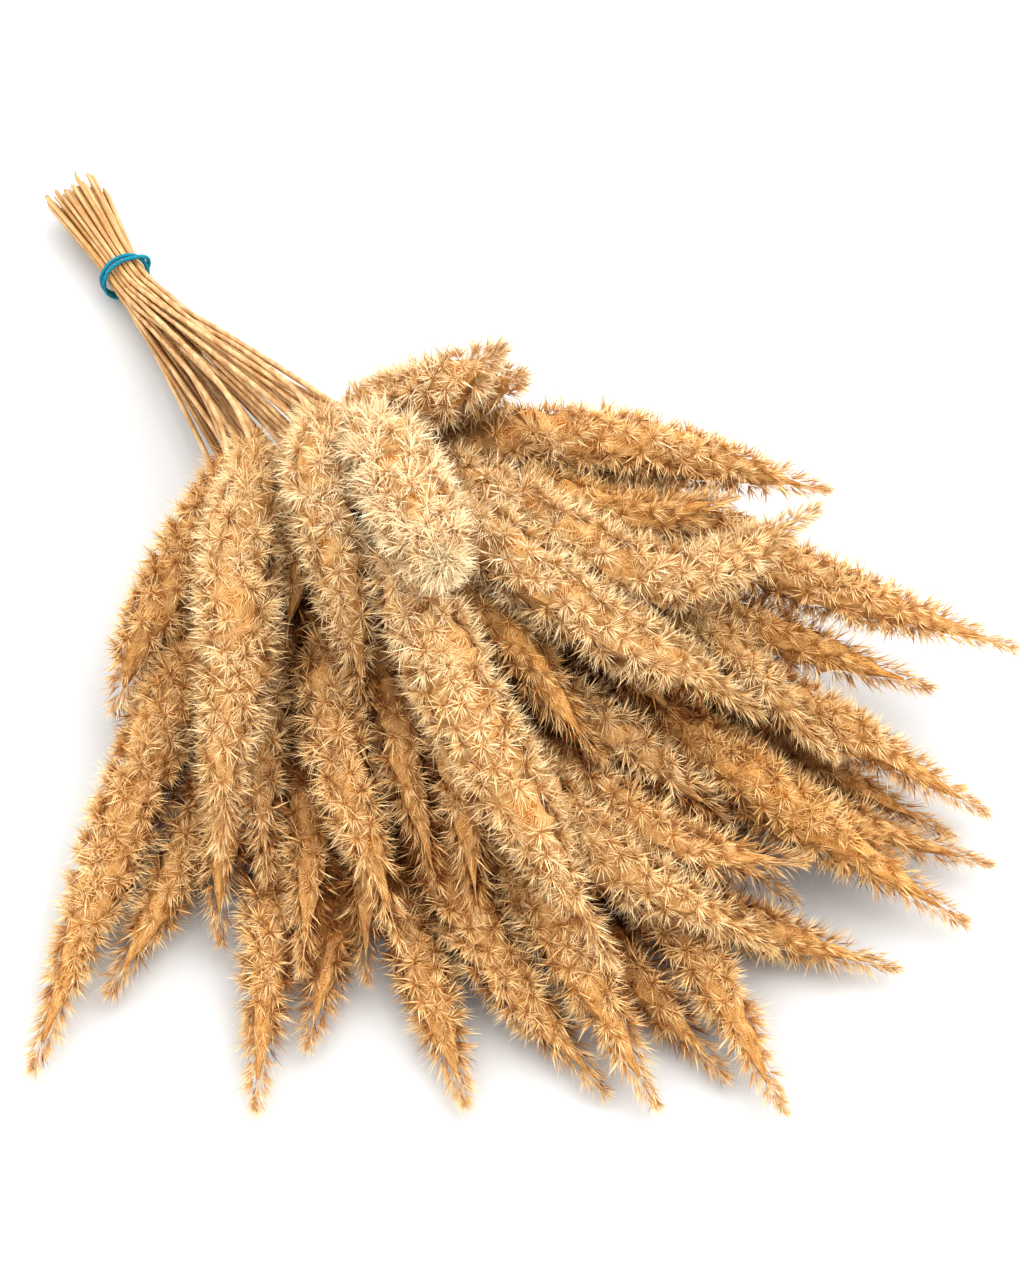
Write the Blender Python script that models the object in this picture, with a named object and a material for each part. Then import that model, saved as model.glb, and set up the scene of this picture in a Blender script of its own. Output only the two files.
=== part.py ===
"""Bundle of feather reed grass, lying on a table and tied with a doubled elastic band.

+Z is up. The sheaf lies along Y, with its cut ends toward +Y and its plume tips toward -Y.
The origin is the middle of the underside of the whole bundle. Lengths are in metres.
"""
import math

import bmesh
import bpy
import numpy as np
from mathutils import Matrix, Vector

MM = 0.001

# Stalks
STEM_RADIUS = 1.15 * MM
STALK_SIDES = 5
STEM_GAP = 0.25 * MM
STEM_STEP = 25 * MM
CUT_END = 60 * MM
CUT_END_UNEVEN = 7 * MM
CUT_END_SPREAD = 1.7
CUT_END_RISE = 3 * MM
TIE_HALF = 9 * MM
ROUTE_SAMPLES = 24

# Plumes
PLUME_RINGS = 11
PLUME_FOOT_SHARE = 0.3
TAPER_START = 0.58
TAPER_POWER = 1.6
RISE_END = 0.3
SHORT_SPIKELET = 0.68
SPIKELET_MIN = 0.6 * MM
CORE_SHARE = 0.4
SPIKELET_LEAN = math.tan(math.radians(56))
RING_TWIST = math.radians(24)
PLUME_GAP = 0.5 * MM

# Tie band
STRAND_RADIUS = 1.0 * MM
STRAND_OFFSET = 1.6 * MM
STRAND_LIFT = 2.4 * MM
STRAND_POINTS = 60
BAND_CROSSING = math.radians(25)

# How far the stems stray from a neat order in the tie, in mm
HEIGHT_SHUFFLE = 9
SIDE_SHUFFLE = 7

# Easing the crowded stalks apart
EASE_PASSES = 420
SMOOTH_PASSES = 300
EASE_STEP = 0.4
EVENING = 0.35
LONGEST_MOVE = 3 * MM
PAIR_PASSES = 8
PAIR_MARGIN = 4 * MM
SEED = 7

# Base colour of each tone of stalk, and of the band
COLOURS = {
    "straw_pale": (0.72, 0.53, 0.33),
    "straw_golden": (0.58, 0.37, 0.19),
    "straw_brown": (0.40, 0.23, 0.11),
    "band_teal": (0.02, 0.36, 0.48),
}

# One row a stalk: its plume's radius, the share of it left at the tip, its tone, and the
# places of its plume's foot, middle and tip. A place is the distance from the tie, the
# distance to the right and the height. All are in mm.
LEFT_STALKS = [
    (14.3, 0.34, "straw_golden", (178, -12, 40), (281, -105, 20), (390, -213, 9)),
    (13.3, 0.34, "straw_golden", (184, -19, 60), (233, -64, 44), (257, -118, 26)),
    (12.3, 0.34, "straw_golden", (180, -18, 42), (241, -73, 24), (273, -119, 14)),
    (13.3, 0.34, "straw_golden", (218, -26, 34), (308, -96, 18), (372, -175, 10)),
    (14.3, 0.45, "straw_pale", (202, -8, 76), (289, -49, 80), (359, -114, 50)),
    (12.3, 0.34, "straw_golden", (186, -10, 64), (227, -35, 60), (271, -72, 44)),
    (13.8, 0.34, "straw_golden", (226, -26, 38), (355, -88, 20), (447, -145, 9)),
    (11.8, 0.34, "straw_pale", (223, -22, 56), (322, -68, 46), (375, -99, 34)),
    (10.8, 0.34, "straw_golden", (249, -41, 34), (326, -84, 24), (376, -122, 12)),
]
FRONT_STALKS = [
    (11.8, 0.34, "straw_golden", (236, -19, 48), (343, -69, 34), (410, -102, 16)),
    (11.3, 0.34, "straw_golden", (287, -41, 34), (380, -80, 18), (433, -116, 9)),
    (10.8, 0.34, "straw_golden", (252, -19, 60), (349, -58, 34), (420, -81, 14)),
    (13.3, 0.34, "straw_golden", (231, -7, 74), (332, -46, 60), (422, -69, 36)),
    (12.8, 0.34, "straw_golden", (303, -37, 36), (399, -58, 20), (485, -74, 9)),
    (12.8, 0.34, "straw_golden", (315, -38, 50), (408, -48, 24), (505, -16, 10)),
    (11.8, 0.34, "straw_golden", (199, 7, 80), (254, -19, 84), (302, -47, 62)),
    (13.3, 0.42, "straw_pale", (205, 10, 88), (275, -14, 102), (345, -43, 80)),
    (10.8, 0.34, "straw_golden", (245, -3, 80), (337, -26, 66), (413, -45, 44)),
    (11.8, 0.34, "straw_golden", (259, -8, 86), (353, -20, 68), (431, -39, 42)),
    (14.8, 0.36, "straw_pale", (257, -6, 98), (357, -15, 88), (475, -5, 42)),
    (12.8, 0.34, "straw_golden", (342, -17, 54), (422, -2, 30), (520, -12, 9)),
]
MIDDLE_STALKS = [
    (10.3, 0.34, "straw_brown", (257, 5, 86), (325, 20, 78), (410, 23, 50)),
    (14.3, 0.45, "straw_pale", (255, 13, 74), (353, 42, 62), (445, 65, 42)),
    (12.8, 0.34, "straw_golden", (257, 16, 62), (338, 46, 60), (397, 77, 44)),
    (12.3, 0.34, "straw_pale", (332, -3, 60), (426, 9, 48), (492, 59, 28)),
    (11.3, 0.34, "straw_golden", (347, 3, 46), (442, 27, 42), (472, 86, 44)),
    (11.3, 0.34, "straw_golden", (361, 0, 38), (456, 38, 28), (548, 30, 12)),
    (12.8, 0.34, "straw_golden", (344, -9, 38), (435, 5, 28), (523, 25, 10)),
    (12.3, 0.34, "straw_golden", (339, 12, 32), (451, 47, 22), (514, 104, 10)),
    (13.3, 0.34, "straw_golden", (284, 18, 50), (391, 44, 38), (474, 79, 15)),
]
RIGHT_STALKS = [
    (14.3, 0.34, "straw_brown", (282, 29, 48), (401, 86, 32), (510, 140, 12)),
    (11.8, 0.34, "straw_golden", (282, 38, 36), (431, 106, 24), (492, 165, 13)),
    (13.3, 0.34, "straw_golden", (261, 35, 56), (374, 116, 44), (470, 178, 14)),
    (11.8, 0.34, "straw_pale", (262, 30, 72), (365, 91, 72), (436, 123, 46)),
    (11.3, 0.34, "straw_brown", (270, 44, 34), (401, 101, 26), (471, 159, 10)),
    (11.3, 0.34, "straw_brown", (284, 27, 38), (371, 75, 32), (451, 79, 18)),
    (13.3, 0.45, "straw_pale", (249, 16, 92), (350, 47, 88), (409, 104, 62)),
    (12.8, 0.34, "straw_brown", (243, 38, 62), (347, 107, 60), (418, 183, 36)),
    (13.8, 0.34, "straw_golden", (232, 39, 70), (349, 120, 70), (423, 220, 46)),
]
TOP_STALKS = [
    (14.8, 0.42, "straw_pale", (237, 23, 92), (358, 85, 90), (359, 158, 104)),
    (11.8, 0.34, "straw_brown", (243, 36, 76), (321, 88, 76), (330, 135, 80)),
    (13.8, 0.34, "straw_golden", (218, 32, 86), (268, 104, 94), (329, 186, 72)),
    (11.8, 0.34, "straw_brown", (208, 41, 66), (276, 105, 66), (314, 158, 54)),
    (13.3, 0.5, "straw_golden", (207, 21, 90), (242, 43, 118), (256, 67, 148)),
    (12.3, 0.5, "straw_brown", (202, 24, 74), (235, 50, 92), (259, 75, 134)),
    (16.3, 0.62, "straw_pale", (221, 16, 100), (287, 4, 128), (351, -8, 150)),
]
STALKS = LEFT_STALKS + FRONT_STALKS + MIDDLE_STALKS + RIGHT_STALKS + TOP_STALKS


def make_material(name):
    material = bpy.data.materials.new(name)
    material.use_nodes = True
    shader = material.node_tree.nodes["Principled BSDF"]
    shader.inputs["Base Color"].default_value = (*COLOURS[name], 1.0)
    shader.inputs["Roughness"].default_value = 0.85
    shader.inputs["Metallic"].default_value = 0.0
    return material


def add_object(name, mesh, collection):
    collection.objects.link(bpy.data.objects.new(name, mesh))


def tie_slots(count):
    """Close-packed places of the stems in the tie, as (right, height) from its middle."""
    pitch = 2 * STEM_RADIUS + STEM_GAP
    row_height = pitch * math.sqrt(3) / 2
    reach = range(-6, 7)
    lattice = [
        ((column + 0.5 * (row % 2)) * pitch, row * row_height, row)
        for row in reach
        for column in reach
    ]
    middle = (0.25 * pitch, 0.3 * row_height)  # off every slot, so that no two are equally near
    lattice.sort(key=lambda slot: math.hypot(slot[0] - middle[0], slot[1] - middle[1]))
    return lattice[:count]


def assign_slots(rng):
    """Give the low stalks the low rows of the tie, and each row from left to right."""
    slots = tie_slots(len(STALKS))
    feet = np.array([stalk[3] for stalk in STALKS], float)
    height_order = feet[:, 2] + rng.normal(0, HEIGHT_SHUFFLE, len(STALKS))
    side_order = feet[:, 1] + rng.normal(0, SIDE_SHUFFLE, len(STALKS))
    by_height = list(np.argsort(height_order))
    places = [None] * len(STALKS)
    for row in sorted({slot[2] for slot in slots}):
        in_row = sorted(slot for slot in slots if slot[2] == row)
        stalks = [by_height.pop(0) for _ in in_row]
        stalks.sort(key=lambda index: side_order[index])
        for index, slot in zip(stalks, in_row):
            places[index] = (slot[0], slot[1])
    return places


def smooth_route(points):
    """A centripetal Catmull-Rom curve through the points."""
    ends = [2 * points[0] - points[1], *points, 2 * points[-1] - points[-2]]
    route = []
    for p0, p1, p2, p3 in zip(ends, ends[1:], ends[2:], ends[3:]):
        t0 = 0.0
        t1 = t0 + math.sqrt(np.linalg.norm(p1 - p0))
        t2 = t1 + math.sqrt(np.linalg.norm(p2 - p1))
        t3 = t2 + math.sqrt(np.linalg.norm(p3 - p2))
        for t in np.linspace(t1, t2, ROUTE_SAMPLES, endpoint=False):
            a1 = (t1 - t) / (t1 - t0) * p0 + (t - t0) / (t1 - t0) * p1
            a2 = (t2 - t) / (t2 - t1) * p1 + (t - t1) / (t2 - t1) * p2
            a3 = (t3 - t) / (t3 - t2) * p2 + (t - t2) / (t3 - t2) * p3
            b1 = (t2 - t) / (t2 - t0) * a1 + (t - t0) / (t2 - t0) * a2
            b2 = (t3 - t) / (t3 - t1) * a2 + (t - t1) / (t3 - t1) * a3
            route.append((t2 - t) / (t2 - t1) * b1 + (t - t1) / (t2 - t1) * b2)
    route.append(points[-1])
    return np.array(route)


def resample(route, count):
    """The route as count evenly spaced steps."""
    lengths = np.r_[0, np.cumsum(np.linalg.norm(np.diff(route, axis=0), axis=1))]
    places = np.linspace(0, lengths[-1], count + 1)
    return np.stack([np.interp(places, lengths, route[:, axis]) for axis in range(3)], axis=1)


def plume_reach(share, radius, tip_share):
    """Radius out to the spikelets' tips at a share of the plume's length."""
    rise = PLUME_FOOT_SHARE + (1 - PLUME_FOOT_SHARE) * min(1.0, share / RISE_END)
    past = max(0.0, (share - TAPER_START) / (1 - TAPER_START))
    fall = 1.0 - (1 - tip_share) * past**TAPER_POWER
    return radius * min(rise, fall)


def stalk_stations(stalk, place, tie_height, rng):
    """Centres along one stalk, how many of them are stem, and the radius needed at each."""
    radius, tip_share, _, foot, middle, tip = stalk
    right, up = place
    cut = CUT_END + rng.uniform(-1, 1) * CUT_END_UNEVEN
    cut_end = np.array([right * CUT_END_SPREAD, cut, tie_height + CUT_END_RISE + up])
    tie_back = np.array([right, TIE_HALF, tie_height + up])
    tie_front = np.array([right, -TIE_HALF, tie_height + up])
    foot, middle, tip = (np.array([p[1], -p[0], p[2]]) * MM for p in (foot, middle, tip))
    knots = [cut_end, tie_back, tie_front, foot, middle, tip]
    route = smooth_route(knots)
    behind = route[: ROUTE_SAMPLES + 1]
    stem = route[2 * ROUTE_SAMPLES : 3 * ROUTE_SAMPLES + 1]
    plume = route[3 * ROUTE_SAMPLES :]
    stem_length = np.linalg.norm(np.diff(stem, axis=0), axis=1).sum()
    centres = np.vstack([
        resample(behind, 2),
        resample(stem, round(stem_length / STEM_STEP)),
        resample(plume, PLUME_RINGS)[1:],
    ])
    stem_count = len(centres) - PLUME_RINGS
    reach = np.full(len(centres), STEM_RADIUS)
    for ring in range(PLUME_RINGS + 1):
        share = max(0.0, (ring - 0.5) / PLUME_RINGS)
        reach[stem_count - 1 + ring] = plume_reach(share, radius * MM, tip_share)
    return centres, stem_count, reach


def nearest_shares(start_a, along_a, start_b, along_b):
    """Where pairs of straight steps come nearest, as shares of each step."""
    apart = start_a - start_b
    aa = np.sum(along_a * along_a, axis=1)
    bb = np.sum(along_b * along_b, axis=1)
    ab = np.sum(along_a * along_b, axis=1)
    a_apart = np.sum(along_a * apart, axis=1)
    b_apart = np.sum(along_b * apart, axis=1)
    spread = np.maximum(aa * bb - ab * ab, 1e-18)
    share_a = np.clip((ab * b_apart - a_apart * bb) / spread, 0, 1)
    share_b = np.clip((ab * share_a + b_apart) / bb, 0, 1)
    share_a = np.clip((ab * share_b - a_apart) / aa, 0, 1)
    return share_a, share_b


def near_pairs(centres, reach, owner, starts):
    """Pairs of steps of different stalks that could touch within the next few passes."""
    middles = (centres[starts] + centres[starts + 1]) / 2
    sizes = np.maximum(reach[starts], reach[starts + 1]) + STEM_STEP / 2
    first, second = [], []
    for index in range(len(starts)):
        gap = np.linalg.norm(middles[index + 1 :] - middles[index], axis=1)
        near = gap < sizes[index + 1 :] + sizes[index] + PAIR_MARGIN
        near &= owner[starts[index + 1 :]] != owner[starts[index]]
        found = np.nonzero(near)[0] + index + 1
        first.extend([index] * len(found))
        second.extend(found)
    return starts[np.array(first)], starts[np.array(second)]


def ease_apart(centres, reach, owner, fixed):
    """Push crossing stalks apart until each has room, and keep them all above the table."""
    home = centres.copy()
    starts = np.nonzero(owner[:-1] == owner[1:])[0]
    inner = np.nonzero((owner[:-2] == owner[2:]) & ~fixed[1:-1])[0] + 1
    gap = np.where(reach > 2 * STEM_RADIUS, PLUME_GAP, STEM_GAP) / 2
    free = (~fixed).astype(float)
    for step in range(EASE_PASSES):
        if step % PAIR_PASSES == 0:
            a, b = near_pairs(centres, reach, owner, starts)
        share_a, share_b = nearest_shares(
            centres[a], centres[a + 1] - centres[a], centres[b], centres[b + 1] - centres[b]
        )
        sa, sb = share_a[:, None], share_b[:, None]
        away = centres[a] * (1 - sa) + centres[a + 1] * sa - centres[b] * (1 - sb) - centres[b + 1] * sb
        distance = np.maximum(np.linalg.norm(away, axis=1), 1e-6)
        room = (reach + gap)[a] * (1 - share_a) + (reach + gap)[a + 1] * share_a
        room += (reach + gap)[b] * (1 - share_b) + (reach + gap)[b + 1] * share_b
        short = np.maximum(room - distance, 0)
        push = away / distance[:, None] * (EASE_STEP * short)[:, None]
        moves = np.zeros_like(centres)
        np.add.at(moves, a, push * (1 - sa))
        np.add.at(moves, a + 1, push * sa)
        np.add.at(moves, b, -push * (1 - sb))
        np.add.at(moves, b + 1, -push * sb)
        centres += np.clip(moves, -LONGEST_MOVE, LONGEST_MOVE) * free[:, None]
        if step < SMOOTH_PASSES:
            shift = centres - home
            evened = (shift[inner - 1] + shift[inner + 1]) / 2
            centres[inner] += EVENING * (evened - shift[inner])
        centres[:, 2] = np.where(fixed, centres[:, 2], np.maximum(centres[:, 2], reach))
    return centres


def ring_frames(centres):
    """Rotations whose Z runs along the stalk, turning as little as they can."""
    tangents = np.gradient(centres, axis=0)
    side = Vector((1, 0, 0))
    frames = []
    for tangent in tangents:
        along = Vector(tangent).normalized()
        side = (side - along * side.dot(along)).normalized()
        frames.append(Matrix((side, along.cross(side), along)).transposed())
    return frames


def loft_rings(bm, centres, sizes, turns):
    """A closed tube through a ring at each centre; returns its faces, one list a step."""
    bmesh.ops.create_circle(bm, segments=STALK_SIDES, radius=1.0)
    corners = [vert.co.copy() for vert in bm.verts]
    rings = [(bm.verts[:], bm.edges[:])]
    steps = []
    for _ in centres[1:]:
        grown = bmesh.ops.extrude_edge_only(bm, edges=rings[-1][1])["geom"]
        verts, edges, faces = (
            [part for part in grown if isinstance(part, kind)]
            for kind in (bmesh.types.BMVert, bmesh.types.BMEdge, bmesh.types.BMFace)
        )
        sides = [{verts[side - 1], verts[side]} for side in range(STALK_SIDES)]
        steps.append([next(face for face in faces if side <= set(face.verts)) for side in sides])
        rings.append((verts, edges))
    for (verts, _), centre, frame, size, turn in zip(rings, centres, ring_frames(centres), sizes, turns):
        spin = Matrix.Rotation(turn, 3, "Z")
        for vert, corner in zip(verts, corners):
            vert.co = Vector(centre) + frame @ spin @ (corner * size)
    bmesh.ops.edgeloop_fill(bm, edges=rings[0][1])
    bmesh.ops.edgeloop_fill(bm, edges=rings[-1][1])
    bmesh.ops.recalc_face_normals(bm, faces=bm.faces)
    return steps


def raise_spikelets(bm, steps, centres, reaches, rng):
    """Draw the middle of every face of the plume's core out into a leaning spikelet."""
    for row, (faces, start, end, reach) in enumerate(zip(steps, centres, centres[1:], reaches)):
        start, end = Vector(start), Vector(end)
        along = (end - start).normalized()
        for side, face in enumerate(faces):
            foot = face.calc_center_median()
            outward = foot - (start + end) / 2
            outward -= along * outward.dot(along)
            length = SHORT_SPIKELET if (row + side) % 2 else 1.0
            height = reach * length * rng.uniform(0.88, 1.0) - outward.length
            height = max(height, SPIKELET_MIN)
            apex = bmesh.ops.poke(bm, faces=[face])["verts"][0]
            apex.co = foot + outward.normalized() * height + along * height * SPIKELET_LEAN


def build_stalk(name, stalk, centres, stem_count, rng, collection, material):
    """One stalk: a stem that runs on as its plume's core, with spikelets raised all over it."""
    radius, tip_share = stalk[0] * MM, stalk[1]
    shares = (np.arange(len(centres)) - stem_count + 1) / PLUME_RINGS
    sizes = [
        max(STEM_RADIUS, CORE_SHARE * plume_reach(share, radius, tip_share)) if share > 0 else STEM_RADIUS
        for share in shares
    ]
    turns = np.maximum(shares, 0) * PLUME_RINGS * RING_TWIST
    bm = bmesh.new()
    steps = loft_rings(bm, centres, sizes, turns)
    half_step = 0.5 / PLUME_RINGS
    reaches = [plume_reach(share + half_step, radius, tip_share) for share in shares[stem_count - 1 :]]
    raise_spikelets(bm, steps[stem_count - 1 :], centres[stem_count - 1 :], reaches, rng)
    bmesh.ops.triangulate(bm, faces=bm.faces)
    mesh = bpy.data.meshes.new(name)
    bm.to_mesh(mesh)
    bm.free()
    mesh.materials.append(material)
    add_object(name, mesh, collection)


def build_band(tie_height, bundle_radius, collection, material):
    """One elastic loop wound twice round the stems, crossing over itself once."""
    curve = bpy.data.curves.new("tie_band", "CURVE")
    curve.dimensions = "3D"
    curve.bevel_depth = STRAND_RADIUS
    curve.bevel_resolution = 2
    spline = curve.splines.new("POLY")
    spline.points.add(STRAND_POINTS - 1)
    spline.use_cyclic_u = True
    for index, point in enumerate(spline.points):
        turn = 4 * math.pi * index / STRAND_POINTS
        along = STRAND_OFFSET * math.tanh(3 * math.cos(turn / 2)) / math.tanh(3)
        lift = STRAND_LIFT * math.exp(-(((turn - math.pi) / 0.5) ** 2))
        reach = bundle_radius + STEM_GAP + STRAND_RADIUS + lift
        angle = turn - math.pi + BAND_CROSSING
        point.co = (reach * math.cos(angle), along, tie_height + reach * math.sin(angle), 1.0)
    curve.materials.append(material)
    add_object("tie_band", curve, collection)


def set_origin(collection):
    """Move the whole bundle so that the origin is the middle of its underside."""
    bpy.context.view_layer.update()
    corners = []
    depsgraph = bpy.context.evaluated_depsgraph_get()
    for thing in collection.objects:
        mesh = thing.evaluated_get(depsgraph).to_mesh()
        corners.extend(vert.co.copy() for vert in mesh.vertices)
    corners = np.array(corners)
    low, high = corners.min(axis=0), corners.max(axis=0)
    shift = Matrix.Translation((-(low[0] + high[0]) / 2, -(low[1] + high[1]) / 2, -low[2]))
    for thing in collection.objects:
        thing.data.transform(shift)


def lay_out(rng):
    """Where every stalk's rings are, once eased apart, and the tie's radius and height."""
    places = assign_slots(rng)
    bundle_radius = max(math.hypot(*place) for place in places) + STEM_RADIUS
    tie_height = bundle_radius + STEM_GAP + 2 * STRAND_RADIUS
    stations = [stalk_stations(*pair, tie_height, rng) for pair in zip(STALKS, places)]
    centres = np.vstack([station[0] for station in stations])
    reach = np.concatenate([station[2] for station in stations])
    owner = np.repeat(np.arange(len(stations)), [len(station[0]) for station in stations])
    fixed = centres[:, 1] > -TIE_HALF - 1e-6
    eased = ease_apart(centres, reach, owner, fixed)
    stalks = [(eased[owner == index], station[1]) for index, station in enumerate(stations)]
    return stalks, bundle_radius, tie_height


def main():
    for thing in list(bpy.data.objects):
        bpy.data.objects.remove(thing)
    collection = bpy.data.collections.new("feather_reed_grass_bundle")
    bpy.context.scene.collection.children.link(collection)
    materials = {name: make_material(name) for name in COLOURS}
    rng = np.random.default_rng(SEED)
    stalks, bundle_radius, tie_height = lay_out(rng)
    for number, (stalk, (centres, stem_count)) in enumerate(zip(STALKS, stalks), 1):
        name = f"stalk_{number:02d}"
        build_stalk(name, stalk, centres, stem_count, rng, collection, materials[stalk[2]])
    build_band(tie_height, bundle_radius, collection, materials["band_teal"])
    set_origin(collection)


main()
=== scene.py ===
"""The looks of a dried bundle of feather reed grass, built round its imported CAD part.

+Z is up, the cut ends point toward +Y and the plume tips toward -Y. Lengths are in metres.
"""

import math
from collections import namedtuple

import bmesh
import bpy
import numpy as np
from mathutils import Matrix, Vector
from mathutils.bvhtree import BVHTree


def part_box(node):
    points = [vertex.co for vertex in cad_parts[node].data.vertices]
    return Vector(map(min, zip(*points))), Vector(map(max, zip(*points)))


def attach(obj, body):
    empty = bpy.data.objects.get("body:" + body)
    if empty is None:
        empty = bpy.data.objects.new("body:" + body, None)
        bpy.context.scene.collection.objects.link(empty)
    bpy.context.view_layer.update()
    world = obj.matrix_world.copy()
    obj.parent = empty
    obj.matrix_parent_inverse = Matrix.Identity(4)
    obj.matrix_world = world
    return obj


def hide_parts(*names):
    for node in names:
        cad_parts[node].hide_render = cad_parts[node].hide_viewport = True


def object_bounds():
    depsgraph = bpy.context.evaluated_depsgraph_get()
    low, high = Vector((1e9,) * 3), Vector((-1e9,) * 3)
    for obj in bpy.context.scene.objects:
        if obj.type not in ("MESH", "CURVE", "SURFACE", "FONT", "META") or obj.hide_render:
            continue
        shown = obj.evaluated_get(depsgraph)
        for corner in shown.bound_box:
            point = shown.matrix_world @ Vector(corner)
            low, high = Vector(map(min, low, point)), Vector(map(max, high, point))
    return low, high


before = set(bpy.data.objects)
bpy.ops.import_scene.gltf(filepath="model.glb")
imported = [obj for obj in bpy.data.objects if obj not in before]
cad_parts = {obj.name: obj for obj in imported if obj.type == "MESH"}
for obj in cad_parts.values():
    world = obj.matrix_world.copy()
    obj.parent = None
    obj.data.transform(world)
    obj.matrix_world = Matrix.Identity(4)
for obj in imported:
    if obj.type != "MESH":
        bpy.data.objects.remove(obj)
cad_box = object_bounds()


# The tie band is one loop of braided teal elastic, 2 mm thick, wound twice round the stems near
# their cut ends. Only its stretch holds it, and it crosses over itself once on the right.
MM = 0.001
BAND_RADIUS = 1.0 * MM
BAND_TURN = 11.59 * MM
BAND_APART = 1.6 * MM
BAND_LIFT = 2.4 * MM
BAND_CROSSING = math.radians(25)
CROSSING_WIDTH = 0.5
TURN_STEEPNESS = 3
UNEVEN = ((0.03, 7), (0.02, 19))
BAND_RINGS, BAND_SIDES = 220, 12
BRAID_ROUND, BRAID_ALONG = 6, 190
THREADS_PER_METRE = 1900.0
BRAID_DEPTH = 0.25 * MM
BAND_ROUGHNESS = 0.75
BAND_TEAL = (0.004, 0.33, 0.45, 1)
BAND_DARK = (0.004, 0.10, 0.15, 1)


class Wire:
    """One value in a material's node tree. Arithmetic on it adds the Math nodes."""

    def __init__(self, tree, socket):
        self.tree, self.socket = tree, socket

    def node(self, kind, settings, inputs, output=0):
        """Adds a node with these settings, then these values or links, and returns one output."""
        made = self.tree.nodes.new("ShaderNode" + kind)
        for name, value in settings.items():
            if name == "stops":
                while len(made.color_ramp.elements) < len(value):
                    made.color_ramp.elements.new(1.0)
                for stop, (place, colour) in zip(made.color_ramp.elements, value):
                    stop.position, stop.color = place, colour
            else:
                setattr(made, name, value)
        for name, value in inputs.items():
            if isinstance(value, Wire):
                self.tree.links.new(value.socket, made.inputs[name])
            else:
                made.inputs[name].default_value = value
        return Wire(self.tree, made.outputs[output])

    def math(self, operation, first, second=0.0):
        return self.node("Math", {"operation": operation}, {0: first, 1: second})

    def __add__(self, other):
        return self.math("ADD", self, other)

    def __sub__(self, other):
        return self.math("SUBTRACT", self, other)

    def __rsub__(self, other):
        return self.math("SUBTRACT", other, self)

    def __mul__(self, other):
        return self.math("MULTIPLY", self, other)

    def __truediv__(self, other):
        return self.math("DIVIDE", self, other)

    __radd__, __rmul__ = __add__, __mul__

    def ramp(self, *stops):
        return self.node("ValToRGB", {"stops": stops}, {0: self})

    def between(self, low, high):
        """0 below low, 1 above high, and smooth between them."""
        limits = {0: self, 1: low, 2: high}
        return self.node("MapRange", {"interpolation_type": "SMOOTHSTEP"}, limits)

    def mixed(self, first, second):
        """The first colour where this is 0 and the second where it is 1."""
        return self.node("Mix", {"data_type": "RGBA"}, {0: self, 6: first, 7: second}, 2)

    def darkened(self, shade):
        """This colour times another."""
        settings = {"data_type": "RGBA", "blend_type": "MULTIPLY"}
        return self.node("Mix", settings, {0: 1.0, 6: self, 7: shade}, 2)

    def sine(self):
        """One wave for each whole number."""
        return self.math("SINE", self * (2 * math.pi))


def start_material(name, roughness):
    """A new material, its shader, and the two coordinates of the piece's own map."""
    material = bpy.data.materials.new(name)
    material.use_nodes = True
    tree = material.node_tree
    shader = tree.nodes["Principled BSDF"]
    shader.inputs["Roughness"].default_value = roughness
    place = tree.nodes.new("ShaderNodeUVMap")
    place.uv_map = "OFBake"
    split = tree.nodes.new("ShaderNodeSeparateXYZ")
    tree.links.new(place.outputs[0], split.inputs[0])
    return material, shader, Wire(tree, split.outputs[0]), Wire(tree, split.outputs[1])


def feed(shader, name, wire):
    wire.tree.links.new(wire.socket, shader.inputs[name])


def unit(vectors):
    return vectors / np.linalg.norm(vectors, axis=-1, keepdims=True)


def swept(path, towards, radii, sides, closed=False):
    """A tube along a path as a bmesh, with each ring's corners listed in order."""
    bm = bmesh.new()
    bmesh.ops.create_circle(bm, segments=sides, radius=1.0)
    rings, first_edges = [bm.verts[:]], bm.edges[:]
    edges = first_edges
    for _ in path[1:]:
        grown = bmesh.ops.extrude_edge_only(bm, edges=edges)["geom"]
        rings.append([part for part in grown if isinstance(part, bmesh.types.BMVert)])
        edges = [part for part in grown if isinstance(part, bmesh.types.BMEdge)]
    if closed:
        along = unit(np.roll(path, -1, axis=0) - np.roll(path, 1, axis=0))
        bmesh.ops.bridge_loops(bm, edges=first_edges + edges)
    else:
        along = unit(np.gradient(path, axis=0))
        bmesh.ops.edgeloop_fill(bm, edges=first_edges)
        bmesh.ops.edgeloop_fill(bm, edges=edges)
    side = unit(towards - along * np.sum(towards * along, axis=1, keepdims=True))
    up = np.cross(along, side)
    turns = 2 * math.pi * np.arange(sides) / sides
    spokes = np.cos(turns)[:, None] * side[:, None] + np.sin(turns)[:, None] * up[:, None]
    for ring, points in zip(rings, path[:, None] + radii[:, None, None] * spokes):
        for vert, point in zip(ring, points):
            vert.co = point
    bmesh.ops.recalc_face_normals(bm, faces=bm.faces)
    return bm, rings


def lay_map(mesh, places):
    """Gives each corner of the mesh its vertex's place on the map that the materials read."""
    owners = np.empty(len(mesh.loops), int)
    mesh.loops.foreach_get("vertex_index", owners)
    layer = mesh.uv_layers.new(name="OFBake")
    layer.uv.foreach_set("vector", places[owners].astype(np.float32).ravel())


def add_piece(name, mesh, materials, node):
    piece = bpy.data.objects.new(name, mesh)
    bpy.context.scene.collection.objects.link(piece)
    for material in materials:
        mesh.materials.append(material)
    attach(piece, "root")
    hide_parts(node)


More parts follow.
